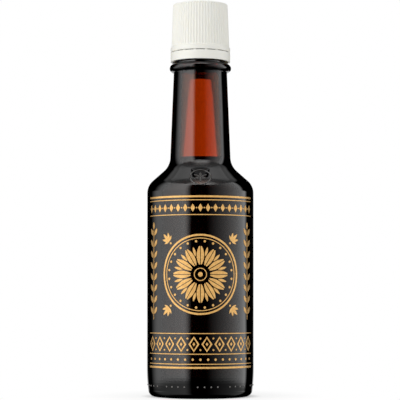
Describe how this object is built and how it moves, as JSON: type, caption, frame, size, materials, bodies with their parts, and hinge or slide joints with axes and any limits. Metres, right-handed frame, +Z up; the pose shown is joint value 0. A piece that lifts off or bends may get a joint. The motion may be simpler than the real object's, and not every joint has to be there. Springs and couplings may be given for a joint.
{
  "type": "bitters bottle",
  "caption": "Small dark glass bottle with a shaker plug in its mouth, liquid inside and a ribbed screw cap with a tamper band; the cap unscrews on a helical thread.",
  "frame": {"origin": "middle of the flat ring that the bottle stands on", "axes": "+Z up along the bottle's own axis, the printed front faces -Y"},
  "size_m": [0.0462, 0.0464, 0.1701],
  "materials": {
    "amber_glass": "gloss",
    "bitters_liquid": "gloss",
    "plug_plastic": "satin",
    "liner_foam": "matte",
    "cap_plastic": "satin",
    "gold_ink": "satin"
  },
  "bodies": {
    "bottle": {"bottle": "amber_glass", "bitters": "bitters_liquid", "dasher_plug": "plug_plastic", "front_print": "gold_ink"},
    "liner": {"cap_liner": "liner_foam"},
    "cap": {"screw_cap": "cap_plastic"},
    "band": {"tamper_band": "cap_plastic"}
  },
  "joints": [
    {"name": "cap_lift", "type": "slide", "parent": "bottle", "child": "liner", "axis": [0, 0, 1], "range_m": [0, 0.0193]},
    {"name": "cap_turn", "type": "hinge", "parent": "liner", "child": "cap", "pos_m": [0, 0, 0.16], "axis": [0, 0, 1], "range_deg": [0, 2160]},
    {"name": "band_turn", "type": "hinge", "parent": "bottle", "child": "band", "pos_m": [0, 0, 0.147], "axis": [0, 0, 1], "continuous": true}
  ],
  "couplings": [
    {"joint": "cap_lift", "follows": "cap_turn", "m_per_rad": 0.0005093}
  ]
}
